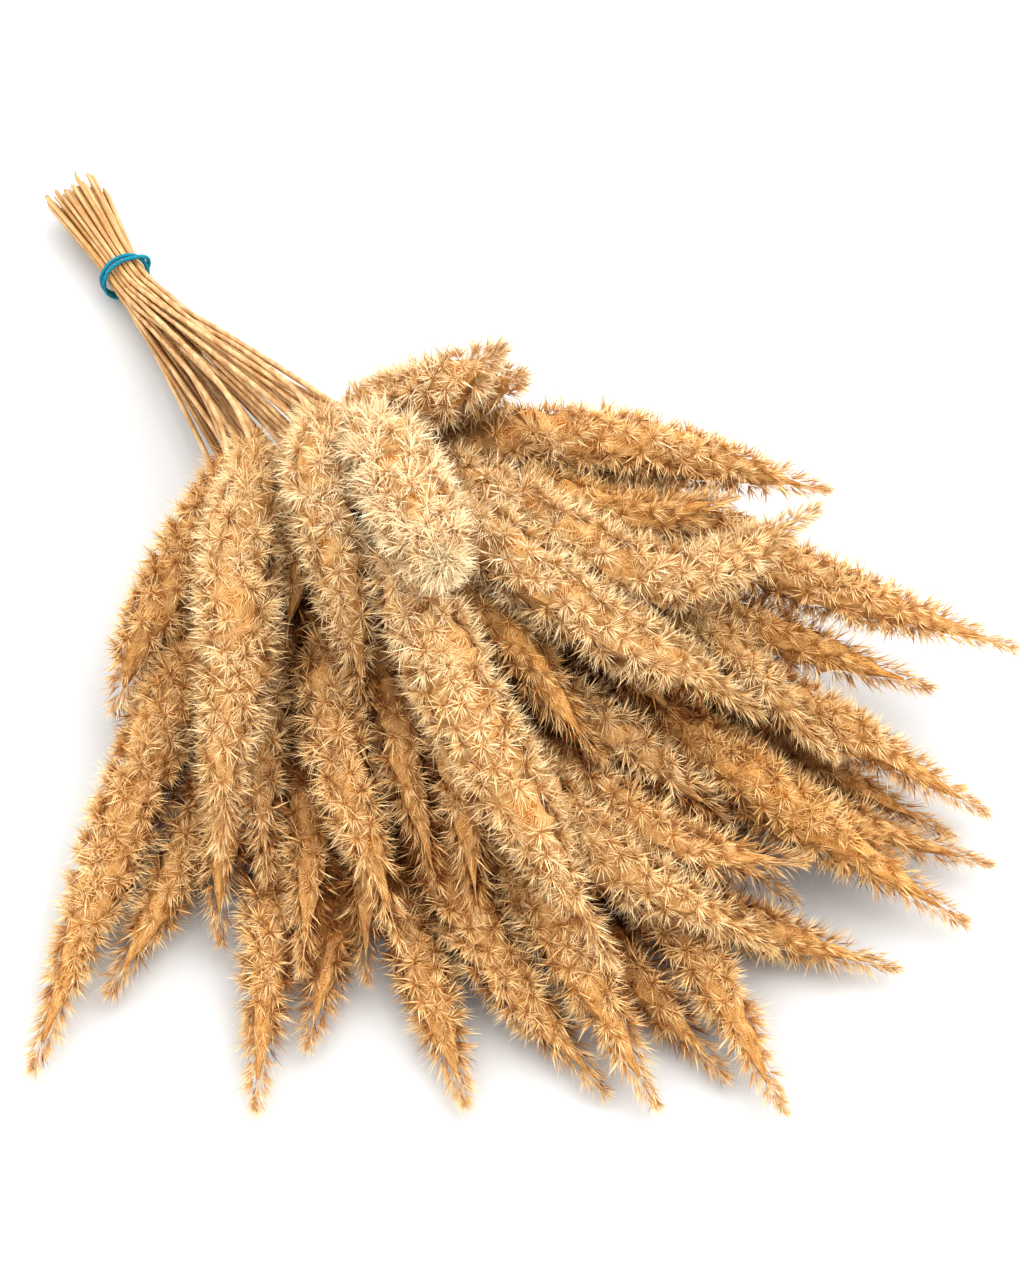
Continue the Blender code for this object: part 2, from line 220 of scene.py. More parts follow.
band_low, band_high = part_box("tie_band")
tie = np.array([
    band_low.x + BAND_TURN + BAND_RADIUS,
    (band_low.y + band_high.y) / 2,
    band_low.z + BAND_TURN + BAND_RADIUS,
])
wound = 4 * math.pi * np.arange(BAND_RINGS) / BAND_RINGS
apart = BAND_APART * np.tanh(TURN_STEEPNESS * np.cos(wound / 2)) / math.tanh(TURN_STEEPNESS)
out = BAND_TURN + BAND_LIFT * np.exp(-(((wound - math.pi) / CROSSING_WIDTH) ** 2))
angle = wound - math.pi + BAND_CROSSING
spokes = np.stack([np.cos(angle), np.zeros(BAND_RINGS), np.sin(angle)], axis=1)
band_path = tie + out[:, None] * spokes + np.stack([0 * apart, apart, 0 * apart], axis=1)
swell = BAND_RADIUS * (1 + sum(depth * np.sin(wound * waves) for depth, waves in UNEVEN))
bm, _ = swept(band_path, spokes, swell, BAND_SIDES, closed=True)
for face in bm.faces:
    face.smooth = True
band_mesh = bpy.data.meshes.new("tie_elastic")
bm.to_mesh(band_mesh)
bm.free()
half_round = np.abs(2 * np.arange(BAND_SIDES) / BAND_SIDES - 1)
loop_share = np.arange(BAND_RINGS) / BAND_RINGS
band_places = [np.tile(half_round, BAND_RINGS), np.repeat(loop_share, BAND_SIDES)]
lay_map(band_mesh, np.stack(band_places, axis=1))

band_finish, shader, across, along = start_material("teal_elastic", BAND_ROUGHNESS)
right_hand = (across * BRAID_ROUND / 2 + along * BRAID_ALONG).sine()
left_hand = (across * BRAID_ROUND / 2 - along * BRAID_ALONG).sine()
braid = right_hand * left_hand
object_place = across.node("TexCoord", {}, {}, "Object")
thread_size = {"Vector": object_place, "Scale": THREADS_PER_METRE, "Detail": 3.0}
fleck = across.node("TexNoise", {}, thread_size)
# Painted shade in the braid's grooves: the band is darker where its bump is low, with random flecks
thread = (braid * 0.35 + fleck).between(0.32, 0.62)
feed(shader, "Base Color", thread.mixed(BAND_DARK, BAND_TEAL))
raised = {"Strength": 0.7, "Distance": BRAID_DEPTH, "Height": braid * 0.3 + fleck}
feed(shader, "Normal", across.node("Bump", {}, raised))
add_piece("tie_elastic", band_mesh, [band_finish], "tie_band")


# Each stalk of grass grew as one piece: a thin round straw stem, cut off slanting at its foot, runs
# on as the rachis of its plume. The stem is smooth, with one joint and the edge of a leaf sheath.
CAD_SIDES = 5
SPIKELET_EDGES = 4
WELD = 0.01 * MM
STEM_SIDES = 8
STEM_GAP = 9 * MM
STEM_RADIUS = (1.02, 1.17)
RACHIS_RADIUS = (0.9, 0.3)
STEM_SWELL = 0.18
SWELLS_BETWEEN = (0.25, 0.75)
SHEATH = 0.1 * MM
SHEATH_EDGE = 0.6 * MM
SHEATH_END = (0.3, 0.9)
JOINT = 0.14 * MM
JOINT_REACH = 2 * MM
JOINT_PLACE = (0.35, 0.85)
CUT_REACH = 4 * MM
CUT_SLANT = (0.3, 2.6)
CUT_WALL = 0.35 * MM
CUT_DEPTH = 0.9 * MM
# Where the straw lies across the piece's map, and the rim that is left free along the map's edges
STRAW_PART = (0.62, 0.36)
MAP_RIM = 0.02
STRAW_LIGHT = (0.70, 0.49, 0.26, 1)
STRAW_DEEP = (0.39, 0.20, 0.06, 1)
# Painted shade: the inside of the cut end is painted dark for the shade in the hollow straw
STRAW_HOLLOW_SHADE = (0.16, 0.07, 0.02, 1)
STRAW_ROUGHNESS = 0.42
FIBRES_PER_METRE = (330.0, 9.0, 330.0)
BLOTCHES_PER_METRE = 240.0
GRAIN_ACROSS, GRAIN_ALONG = 60, 5
GRAIN_DEPTH = 0.1 * MM
HOLLOW_END = 0.015
STRAW, HAIR, HEART = range(3)
rng = np.random.default_rng(11)


def read_stalk(node):
    """The middle of each ring of a CAD stalk, where its plume starts, and each plume step's reach."""
    bm = bmesh.new()
    bm.from_mesh(node.data)
    bmesh.ops.remove_doubles(bm, verts=bm.verts, dist=WELD)
    bm.verts.index_update()
    ring = sorted(bm.verts, key=lambda vert: vert.co.y)[-CAD_SIDES:]
    seen, middles, spikelets = set(ring), [], []
    while ring:
        middles.append(np.mean([vert.co for vert in ring], axis=0))
        near = {edge.other_vert(vert) for vert in ring for edge in vert.link_edges} - seen
        seen |= near
        near = sorted(near, key=lambda vert: vert.index)
        bare = len(near) <= CAD_SIDES
        tips = [vert for vert in near if len(vert.link_edges) == SPIKELET_EDGES and not bare]
        ring = [vert for vert in near if vert not in tips]
        spikelets.append(np.array([vert.co for vert in tips]))
    bm.free()
    middles = np.array(middles)
    foot = next(step for step, tips in enumerate(spikelets) if len(tips))
    reaches = []
    for start, end, tips in zip(middles[foot:], middles[foot + 1 :], spikelets[foot:]):
        along = unit(end - start)
        off = tips - start
        reaches.append(np.linalg.norm(off - np.outer(off @ along, along), axis=1).max())
    return middles, foot, np.array(reaches)


class Spine:
    """A smooth line through a stalk's rings, measured by the length along it."""

    def __init__(self, points):
        self.points = points
        self.marks = np.r_[0, np.cumsum(np.linalg.norm(np.diff(points, axis=0), axis=1))]
        self.slopes = np.gradient(points, self.marks, axis=0)

    def at(self, lengths):
        step = np.clip(np.searchsorted(self.marks, lengths, side="right") - 1, 0, len(self.points) - 2)
        span = (self.marks[step + 1] - self.marks[step])[:, None]
        t = (lengths - self.marks[step])[:, None] / span
        start, end = self.points[step], self.points[step + 1]
        bend = t**3 - 2 * t**2 + t, t**3 - t**2
        turned = span * (bend[0] * self.slopes[step] + bend[1] * self.slopes[step + 1])
        return start + (3 * t**2 - 2 * t**3) * (end - start) + turned

    def along(self, lengths):
        ahead = np.minimum(lengths + MM, self.marks[-1])
        return unit(self.at(ahead) - self.at(ahead - 2 * MM))


Part = namedtuple("Part", "corners triangles places materials outwards shown")


def finish_part(bm, places, material, shown=1.0):
    """A finished bmesh as plain arrays, with its corners' places on the map and how open they are."""
    bmesh.ops.triangulate(bm, faces=bm.faces)
    bm.verts.index_update()
    corners = np.array([vert.co for vert in bm.verts])
    triangles = np.array([[vert.index for vert in face.verts] for face in bm.faces])
    bm.free()
    materials = np.full(len(triangles), material)
    outwards = np.zeros((len(triangles), 3))
    return Part(corners, triangles, places, materials, outwards, np.broadcast_to(shown, len(corners)))


def blend(pair, share):
    """The first of the pair where the share is 0, the second where it is 1."""
    return pair[0] + (pair[1] - pair[0]) * share


def build_stem(spine, foot, total):
    """The stem and rachis of one stalk, from its slanting cut to the tip of its plume."""
    sheath_end = rng.uniform(*SHEATH_END) * foot
    joint = rng.uniform(*JOINT_PLACE) * foot
    even = np.linspace(0, total, round(total / STEM_GAP) + 1)[1:]
    extra = [0, CUT_REACH, sheath_end - SHEATH_EDGE, sheath_end + SHEATH_EDGE]
    extra += [joint - JOINT_REACH, joint, joint + JOINT_REACH]
    lengths = np.unique(np.r_[extra, even[even > 1.5 * CUT_REACH]])
    swell_from, swell_to = foot * SWELLS_BETWEEN[0], foot * SWELLS_BETWEEN[1]
    radii = np.full(len(lengths), rng.uniform(*STEM_RADIUS) * MM)
    radii *= 1 + STEM_SWELL * np.clip((lengths - swell_from) / (swell_to - swell_from), 0, 1)
    in_plume = np.clip((lengths - foot) / (total - foot), 0, 1)
    radii = np.where(lengths > foot, blend(RACHIS_RADIUS, in_plume) * MM, radii)
    radii += SHEATH * (lengths < sheath_end) + JOINT * (np.abs(lengths - joint) < JOINT_REACH / 4)
    path = spine.at(lengths)
    side = np.broadcast_to(unit(rng.normal(size=3) * (1, 0.1, 1)), path.shape)
    bm, rings = swept(path, side, radii, STEM_SIDES)
    slant = rng.uniform(*CUT_SLANT)
    cut_way = unit(path[1] - path[0])
    for turn, vert in enumerate(rings[0]):
        vert.co += Vector(cut_way * slant * radii[0] * math.cos(2 * math.pi * turn / STEM_SIDES))
    for face in bm.faces:
        face.smooth = len(face.verts) == 4
    cut = next(face for face in bm.faces if set(face.verts) == set(rings[0]))
    bmesh.ops.inset_individual(bm, faces=[cut], thickness=CUT_WALL, depth=-CUT_DEPTH)
    fold = np.abs(2 * np.arange(STEM_SIDES) / STEM_SIDES - 1)
    across = STRAW_PART[0] + STRAW_PART[1] * np.tile(fold, len(lengths))
    up = np.repeat(MAP_RIM + (1 - 2 * MAP_RIM) * lengths / total, STEM_SIDES)
    places = np.stack([across, up], axis=1)
    inside = np.tile([STRAW_PART[0] + STRAW_PART[1] / 2, 0.0], (len(bm.verts) - len(places), 1))
    return finish_part(bm, np.vstack([places, inside]), STRAW)


straw_finish, shader, across, along = start_material("dry_straw", STRAW_ROUGHNESS)
object_place = across.node("TexCoord", {}, {}, "Object")
drawn_out = across.node("Mapping", {}, {"Vector": object_place, "Scale": FIBRES_PER_METRE})
batch = across.node("TexNoise", {}, {"Vector": drawn_out, "Scale": 1.0, "Detail": 2.0})
grain_place = across.node("CombineXYZ", {}, {0: across * GRAIN_ACROSS, 1: along * GRAIN_ALONG})
grain = across.node("TexNoise", {}, {"Vector": grain_place, "Scale": 1.0, "Detail": 4.0})
blotch_size = {"Vector": object_place, "Scale": BLOTCHES_PER_METRE, "Detail": 2.0}
blotch = across.node("TexNoise", {}, blotch_size)
shade = (batch * 1.3 + grain * 0.5 + blotch * 0.35 - 0.62).between(0.1, 0.85)
straw = shade.mixed(STRAW_DEEP, STRAW_LIGHT)
# The hollow of the cut end is painted dark, painted shade
feed(shader, "Base Color", along.between(0.0, HOLLOW_END).mixed(STRAW_HOLLOW_SHADE, straw))
raised = {"Strength": 0.25, "Distance": GRAIN_DEPTH, "Height": grain}
feed(shader, "Normal", across.node("Bump", {}, raised))


# Each plume has hundreds of spikelets on short branches set in a spiral all round the rachis. At its
# heart they are packed into a dense brown body, which only shows in the gaps between the tufts. Its
# colour is darkened as painted shade, the more so where it is hidden.
CORE_SIDES = 8
CORE_GAP = 5 * MM
CORE_SHARE = 0.98
CORE_HIDDEN = 0.75
CORE_ROUGH = 0.12
CORE_PART = (0.32, 0.26)
CORE_SPAN = 310 * MM
CORE_ROUND = 36 * MM
CORE_START = 2 * MM
# How far before the plume's end its heart stops, in a pointed plume and in a blunt one
CORE_STOP = (12 * MM, 1 * MM)
CORE_TAPER = 8 * MM
CORE_LEAST = 0.02
CORE_SIGHT = (0, 0, 0.7)
CORE_SHOWING = (0.05, 0.35)
CORE_ASIDE = (1.0, 0.1, 0.2)
RINGS_EASED = 7
PLUME_PART = (0.03, 0.24)
FLUFF = (3.0 * MM, 6.0 * MM, 5.0 * MM, 1.5 * MM)
FLUFF_MARKS = (0.0, 0.2, 0.5, 1.0)
BLUNT_FROM = (0.58, 0.7)
BLUNT_FLUFF = 4.5 * MM
POINTED_FROM, POINTED_TO, POINTED_POWER = 0.72, 0.5, 1.5
EASING = (0.25, 0.5, 0.25)
# A plume's tufts are tight below the first radius and loose above the second. The pairs that come
# after give a loose tuft's value, then a tight one's.
TIGHT_BELOW = {
    "straw_pale": (5 * MM, 12 * MM),
    "straw_golden": (6 * MM, 15 * MM),
    "straw_brown": (7 * MM, 17 * MM),
}
HAIR_LENGTH = (0.68, 1.6)
HAIR_LONGEST = (9 * MM, 10 * MM)
TUFT_LEAN = (math.radians(30), math.radians(60))
TUFT_DEEP = 0.8
LEAST_INNER = 0.05
SIGHT_LINES = 24
SIGHT_SPAN = 1.25
SIGHT_REACH = 0.7
GOLDEN_ANGLE = math.pi * (3 - math.sqrt(5))


def smooth_step(value, low, high):
    t = np.clip((value - low) / (high - low), 0, 1)
    return t * t * (3 - 2 * t)


class Plume:
    """The middle line of one stalk and the outline of its plume, both read from its CAD node."""

    def __init__(self, node, slot):
        rings, foot_ring, reaches = read_stalk(node)
        self.spine = Spine(rings)
        marks = self.spine.marks
        self.foot, self.total = marks[foot_ring], marks[-1]
        self.stations = (marks[foot_ring:-1] + marks[foot_ring + 1 :]) / 2
        self.reaches = np.convolve(np.pad(reaches, 1, mode="edge"), EASING, mode="valid")
        self.blunt = smooth_step(self.reaches[-1] / self.reaches.max(), *BLUNT_FROM)
        self.tight_below = TIGHT_BELOW[slot]

    def shape(self, lengths):
        """The plume's radius here, how tight it is, its hairs' length, and where they start."""
        share = (lengths - self.foot) / (self.total - self.foot)
        narrowing = np.clip((share - POINTED_FROM) / (1 - POINTED_FROM), 0, 1) ** POINTED_POWER
        radius = np.interp(lengths, self.stations, self.reaches)
        radius = radius + np.interp(share, FLUFF_MARKS, FLUFF)
        radius = radius * (1 - (1 - POINTED_TO) * (1 - self.blunt) * narrowing)
        radius = radius + BLUNT_FLUFF * self.blunt * share**2
        tight = 1 - smooth_step(radius, *self.tight_below)
        longest = np.minimum(blend(HAIR_LENGTH, tight) * radius, blend(HAIR_LONGEST, tight))
        inner = radius - TUFT_DEEP * longest * np.cos(blend(TUFT_LEAN, tight))
        return radius, tight, longest, np.maximum(inner, LEAST_INNER * radius)


solid_corners, solid_faces, solid_count = [], [], 0
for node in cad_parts.values():
    solid_corners += [vert.co[:] for vert in node.data.vertices]
    solid_faces += [[solid_count + corner for corner in face.vertices] for face in node.data.polygons]
    solid_count += len(node.data.vertices)
solids = BVHTree.FromPolygons(solid_corners, solid_faces)
spiral = np.arange(SIGHT_LINES) + 0.5
rise = 1 - SIGHT_SPAN * spiral / SIGHT_LINES
flat = np.sqrt(1 - rise**2)
round_turn = spiral * GOLDEN_ANGLE
sight_lines = np.stack([flat * np.cos(round_turn), flat * np.sin(round_turn), rise], axis=1)
sight_lines = [Vector(line) for line in sight_lines]


def is_free(point, line):
    return solids.ray_cast(Vector(point), line, SIGHT_REACH)[0] is None


def openness(points):
    """The share of the room above the table that each point of the heap can be seen from."""
    free = [sum(is_free(point, line) for line in sight_lines) for point in points]
    return np.array(free) / SIGHT_LINES


def build_core(plume):
    """The dense heart of one plume, a rough closed body round the rachis."""
    start, stop = plume.foot + CORE_START, blend(CORE_STOP, plume.blunt)
    rings = round((plume.total - plume.foot) / CORE_GAP) + 1
    lengths = np.linspace(start, plume.total - stop, rings)
    radius, _, _, inner = plume.shape(lengths)
    path = plume.spine.at(lengths)
    seen = np.pad(openness(path + radius[:, None] * CORE_SIGHT), RINGS_EASED // 2, "edge")
    seen = np.convolve(seen, np.full(RINGS_EASED, 1 / RINGS_EASED), "valid")
    widest = np.maximum(inner, CORE_HIDDEN * radius)
    radii = CORE_SHARE * blend((widest, inner), smooth_step(seen, *CORE_SHOWING))
    to_end = (lengths[-1] + CORE_START - lengths) / (stop + CORE_TAPER)
    radii *= np.sqrt(np.clip(to_end, CORE_LEAST, 1))
    bm, rings = swept(path, np.broadcast_to(CORE_ASIDE, path.shape), radii, CORE_SIDES)
    for ring, radius in zip(rings, radii):
        for vert in ring:
            vert.co += Vector(rng.normal(0, 1, 3)) * radius * CORE_ROUGH
    fold = np.abs(2 * np.arange(CORE_SIDES) / CORE_SIDES - 1)
    across = CORE_PART[0] + CORE_PART[1] * np.tile(fold, len(lengths))
    up = np.repeat(MAP_RIM + (lengths - plume.foot) / CORE_SPAN, CORE_SIDES)
    return finish_part(bm, np.stack([across, up], axis=1), HEART, np.repeat(seen, CORE_SIDES))


# The fluff is fine silky hairs that fan out from the end of every spikelet: in stars all along the
# plume, and in narrow pointed tufts toward its tip. They are dark at the root and pale at the tip.
# Tufts hidden in the heap are painted darker, painted shade, and tufts high on it paler, painted light.
# TUFT_GAP, TUFT_FAN and HAIRS give a loose tuft's value, then a tight one's. Other pairs are the
# ends of a range.
TUFT_GAP = (1.05, 0.66)
TUFT_LOOSE = 0.6 * MM
TUFT_FAN, FAN_POWER = (math.radians(66), math.radians(22)), 0.45
TUFT_STEPS = 200
TUFT_ASIDE = (0.3, 0.1, 1.0)
TURN_WANDER, LEAN_WANDER = 0.25, 0.14
TWO_RANKED = 0.55
END_SPAN = 12 * MM
END_CROWD = 3
END_DEEP = 0.8
END_LEAN, END_LEAN_SHARE = math.radians(72), (0.3, 1)
END_LIFT = 0.9
HAIRS = (49, 11.5)
LEAST_HAIRS = 1
HAIRS_VARY = (0.7, 1.3)
HAIR_SPREAD = (0.6, 1.1)
HAIR_WIDTH = (0.12 * MM, 0.21 * MM)
TIGHT_WIDTH = 0.75
UNDERCOAT, UNDERCOAT_WIDTH, UNDERCOAT_LENGTH = 0.25, 1.5, 0.75
STRAND = 0.022 / MM
HAIR_BEND = (0.04, 0.26)
BEND_WANDER = 0.25
TIGHT_STRAIGHTER = 0.4
HAIR_HOOK = 0.03
WIDEST_AT = 0.36
FLOOR_GAP = 0.1 * MM
PAST_CAD_BOX = 0.028
SIGHT_START = 0.8
OPEN_ENOUGH, OPEN_POWER = 0.45, 1.8
# A tuft's tone carries painted shade and light: the less open it is, the lower its tone and the darker
# its hairs
PAINTED_LIGHT_OPEN, PAINTED_LIGHT_HEIGHT, PAINTED_LIGHT_POWER = 0.55, 0.35, 1.2
# Heights over which tufts high on the heap are painted paler, painted light
PAINTED_LIGHT_ABOVE = (82 * MM, 138 * MM)
TONE, TONE_WANDER, TONE_LIMITS = (0.55, 0.8), 0.08, (0.03, 0.97)
# HEIGHT_TONE is the painted light on tufts high on the heap; BLUNT_TONE makes blunt plumes paler
HEIGHT_TONE, BLUNT_TONE = 0.3, 0.2
SOFTNESS = (0.3, 1.4)
# Base colours at the root, the middle and the tip of a hair, for each tone of plume
PLUME_COLOURS = {
    "straw_pale": ((0.55, 0.27, 0.08, 1), (0.84, 0.62, 0.33, 1), (0.92, 0.77, 0.51, 1)),
    "straw_golden": ((0.53, 0.25, 0.07, 1), (0.87, 0.61, 0.30, 1), (0.95, 0.77, 0.48, 1)),
    "straw_brown": ((0.51, 0.235, 0.055, 1), (0.85, 0.58, 0.26, 1), (0.94, 0.74, 0.43, 1)),
}
PALEST = (0.95, 0.82, 0.61, 1)
# Painted shade: how a hair's colour is darkened by its tone, down to deep brown for tufts hidden in the
# heap
HIDDEN = ((0.0, (0.20, 0.055, 0.006, 1)), (0.5, (0.60, 0.39, 0.21, 1)), (1.0, (1, 1, 1, 1)))
HIDDEN_TONES, HIDDEN_STREAKS = (0.0, 0.65), 0.4
# Where along a hair, and at which tones, one colour gives way to the next
MIDDLE_FROM = (0.0, 0.5)
# Low-toned, hidden tufts keep their middle colour out to the tip, painted shade; the highest tones turn
# palest, partly the plume's own colour and partly painted light
TIP_FROM, TIP_TONES = (0.3, 0.85), (0.1, 0.65)
PALEST_FROM, PALEST_TONES, PALEST_SHARE = (0.0, 0.7), (0.75, 1.0), 0.85
HAIR_STREAKS = 0.3
STREAKS_ACROSS = 180.0
PLUME_ROUGHNESS = 0.8
# The heart's colours darkened and browned, painted shade for the gaps it shows through
HEART_SHADE = (0.66, 0.58, 0.48)
# How open the heart must be before its painted shade lifts
HEART_SHOWN = (0.0, 0.5)
HEART_TONE, STAR_TONE, SHOWN_TONE = 0.12, 0.25, 0.3
STAR_SIZE = 6.5 * MM
STAR_HAIRS = 5.0
STAR_MIX = 37.0
STAR_ALONG = 0.9
# STAR_FADE paints shade into the gaps between the drawn stars
STAR_CONTRAST, STAR_LIGHT, STAR_FADE = 2.2, 0.55, 0.55
SECOND_STARS = 30.5

# A hair is the least closed shape there is: its root, its two edges where it is widest, and its tip
bm = bmesh.new()
bmesh.ops.create_cone(bm, cap_ends=True, segments=3, radius1=1.0, radius2=0.0, depth=1.0)
for vert, place in zip(bm.verts, [(0, 0, 0), (1, 0, WIDEST_AT), (-1, 0, WIDEST_AT), (0, 0, 1)]):
    vert.co = place
hair = finish_part(bm, None, HAIR)


def place_tufts(plume):
    """The tufts of one plume: where each starts, the way it points, and what its hairs are like."""
    total, blunt = plume.total, plume.blunt
    dense = np.linspace(plume.foot, total, TUFT_STEPS)
    radius, tight, longest, _ = plume.shape(dense)
    crowd = 2 * math.pi * radius / (blend(TUFT_GAP, tight) * longest) ** 2
    crowd *= 1 + END_CROWD * blunt * smooth_step(dense, total - END_SPAN, total)
    crowd = np.cumsum(crowd) * (dense[1] - dense[0])
    count = int(crowd[-1])
    lengths = np.interp(np.arange(count) + 0.5, crowd, dense)
    radius, tight, longest, inner = (values[:, None] for values in plume.shape(lengths))
    ending = smooth_step(lengths, total - END_SPAN, total)[:, None]
    along = plume.spine.along(lengths)
    side = unit(np.cross(along, TUFT_ASIDE))
    turn = (np.arange(count) * GOLDEN_ANGLE + rng.normal(0, TURN_WANDER, count))[:, None]
    flattened = 1 - TWO_RANKED * tight
    out = unit(side * np.cos(turn) + np.cross(along, side) * np.sin(turn) * flattened)
    lean = blend(TUFT_LEAN, tight) + rng.normal(0, LEAN_WANDER, (count, 1))
    lean += (END_LEAN - lean) * ending * rng.uniform(*END_LEAN_SHARE, (count, 1))
    axis = out * np.cos(lean) + along * np.sin(lean)
    middle = plume.spine.at(lengths)
    start = middle + out * inner * (1 - END_DEEP * ending)
    seen = openness(middle + out * radius * SIGHT_START)
    fullness = np.clip(seen / OPEN_ENOUGH, 0, 1) ** OPEN_POWER * rng.uniform(*HAIRS_VARY, count)
    number = np.maximum(LEAST_HAIRS, np.round(blend(HAIRS, tight)[:, 0] * fullness)).astype(int)
    # Painted shade and light: hidden tufts get a low tone and are painted darker, high tufts a higher
    # one and paler
    height = smooth_step(start[:, 2], *PAINTED_LIGHT_ABOVE)
    painted_light_share = np.clip(seen / PAINTED_LIGHT_OPEN + PAINTED_LIGHT_HEIGHT * height, 0, 1) ** PAINTED_LIGHT_POWER
    tone = painted_light_share * (rng.uniform(*TONE, count) + HEIGHT_TONE * height + BLUNT_TONE * blunt)
    facing = unit(axis + END_LIFT * blunt * ending * (0, 0, 1))
    tufts = start, axis, along, tight, longest[:, 0], tone, facing
    return [np.repeat(values, number, axis=0) for values in tufts]


def grow_fluff(plume):
    """The hairs of one plume, each bent and stretched from the one shape of a hair."""
    start, axis, along, tight, longest, tone, facing = place_tufts(plume)
    count = len(start)
    ways = unit(rng.normal(size=(count, 3)))
    across = unit(ways - axis * np.sum(ways * axis, axis=1, keepdims=True))
    open_by = blend(TUFT_FAN, tight) * rng.uniform(0.01, 1, (count, 1)) ** FAN_POWER
    ways = axis * np.cos(open_by) + across * np.sin(open_by)
    bends = unit(across + BEND_WANDER * rng.normal(size=(count, 3)) + BEND_WANDER * along)
    bends = rng.uniform(*HAIR_BEND, (count, 1)) * (1 - TIGHT_STRAIGHTER * tight) * bends
    roots = start + TUFT_LOOSE * rng.normal(size=(count, 3))
    lengths = longest * rng.uniform(*HAIR_SPREAD, count)
    widths = rng.uniform(*HAIR_WIDTH, count) * blend((1, TIGHT_WIDTH), tight)[:, 0]
    under = rng.random(count) < UNDERCOAT
    widths[under] *= UNDERCOAT_WIDTH
    lengths[under] *= UNDERCOAT_LENGTH
    tones = np.clip(tone + rng.normal(0, TONE_WANDER, count), *TONE_LIMITS)
    tones = PLUME_PART[0] + PLUME_PART[1] * tones

    side = unit(np.cross(ways, bends))
    right, _, t = hair.corners.T[:, None, :, None]
    lengths, widths = lengths[:, None, None], widths[:, None, None]
    corners = roots[:, None] + lengths * (ways[:, None] * t + bends[:, None] * t * t)
    hook = HAIR_HOOK * lengths * rng.normal(size=(count, 1, 1)) * (right != 0)
    corners = corners + (widths * right + hook) * side[:, None]
    triangles = hair.triangles[None] + len(hair.corners) * np.arange(count)[:, None, None]
    places = np.empty((count, len(hair.corners), 2))
    places[..., 0] = tones[:, None] + STRAND * widths[:, 0] * hair.corners[:, 0]
    places[..., 1] = MAP_RIM + (1 - 2 * MAP_RIM) * hair.corners[:, 2]
    return Part(
        corners.reshape(-1, 3),
        triangles.reshape(-1, 3),
        places.reshape(-1, 2),
        np.tile(hair.materials, count),
        np.repeat(facing, len(hair.triangles), axis=0),
        np.tile(hair.shown, count),
    )


def paint_hair(along, tone, streak, colours):
    """The colour of a hair from its root to its tip, with painted shade where its tuft is hidden and the
    palest colour where its tone is highest.
    """
    root_colour, middle_colour, tip_colour = colours
    colour = along.between(*MIDDLE_FROM).mixed(root_colour, middle_colour)
    tipped = (along + streak * HAIR_STREAKS - HAIR_STREAKS / 2).between(*TIP_FROM)
    colour = (tipped * tone.between(*TIP_TONES)).mixed(colour, tip_colour)
    # Palest where the tone is highest: partly the plume's own pale tips, partly painted light on tufts
    # high on the heap
    pale_and_lit = (tone + streak * HAIR_STREAKS - HAIR_STREAKS / 2).between(*PALEST_TONES)
    pale_and_lit = pale_and_lit * along.between(*PALEST_FROM)
    colour = (pale_and_lit * PALEST_SHARE).mixed(colour, PALEST)
    # Painted shade: darker and browner the lower the tone
    shade = (tone + streak * HIDDEN_STREAKS - HIDDEN_STREAKS / 2).between(*HIDDEN_TONES)
    return colour.darkened(shade.ramp(*HIDDEN))


def paint_stars(across, along, shift):
    """Stars of fine hairs drawn flat: how bright each hair is, darker away from the star's middle as
    painted shade between stars.
    """
    place = across.node("CombineXYZ", {}, {0: across + shift, 1: along + shift * 0.7})
    plane = {"voronoi_dimensions": "2D"}
    middle = across.node("TexVoronoi", plane, {"Vector": place, "Scale": 1.0}, 2)
    split = across.node("VectorMath", {"operation": "SUBTRACT"}, {0: place, 1: middle})
    split = across.node("SeparateXYZ", {}, {0: split})
    right, up = split, Wire(split.tree, split.socket.node.outputs[1])
    start = across.node("SeparateXYZ", {}, {0: middle}) * STAR_MIX
    turned = across.math("ARCTAN2", up, right) * STAR_HAIRS + start
    line = {"noise_dimensions": "1D"}
    hair_light = across.node("TexNoise", line, {"W": turned, "Scale": 1.0, "Detail": 1.0})
    away = across.math("SQRT", right * right + up * up)
    return (hair_light - 0.5) * STAR_CONTRAST + STAR_LIGHT - away * STAR_FADE


plume_finishes = {}
for slot, colours in PLUME_COLOURS.items():
    hair_finish, shader, across, along = start_material(slot.replace("straw", "plume"), PLUME_ROUGHNESS)
    shader.inputs["Specular IOR Level"].default_value = 0.0
    tone = (across - PLUME_PART[0]) / PLUME_PART[1]
    streak_size = {"W": across, "Scale": STREAKS_ACROSS, "Detail": 1.0}
    streak = across.node("TexNoise", {"noise_dimensions": "1D"}, streak_size)
    feed(shader, "Base Color", paint_hair(along, tone, streak, colours))

    heart_finish, shader, across, along = start_material(slot.replace("straw", "heart"), PLUME_ROUGHNESS)
    shader.inputs["Specular IOR Level"].default_value = 0.0
    across = across * (CORE_ROUND / CORE_PART[1] / STAR_SIZE)
    along = along * (CORE_SPAN / STAR_SIZE)
    near_stars = paint_stars(across, along, 0.0)
    stars = across.math("MAXIMUM", near_stars, paint_stars(across, along, SECOND_STARS))
    # Painted shade: the less open the heart, the lower its tone and the darker its colour
    shown = across.node("Attribute", {"attribute_name": "shown"}, {}, "Fac").between(*HEART_SHOWN)
    darker = [[*np.multiply(colour[:3], HEART_SHADE), 1] for colour in colours]
    tone = stars * STAR_TONE + shown * SHOWN_TONE + HEART_TONE
    feed(shader, "Base Color", paint_hair(stars * STAR_ALONG, tone, stars * 0.2 + 0.4, darker))
    plume_finishes[slot] = [hair_finish, heart_finish]

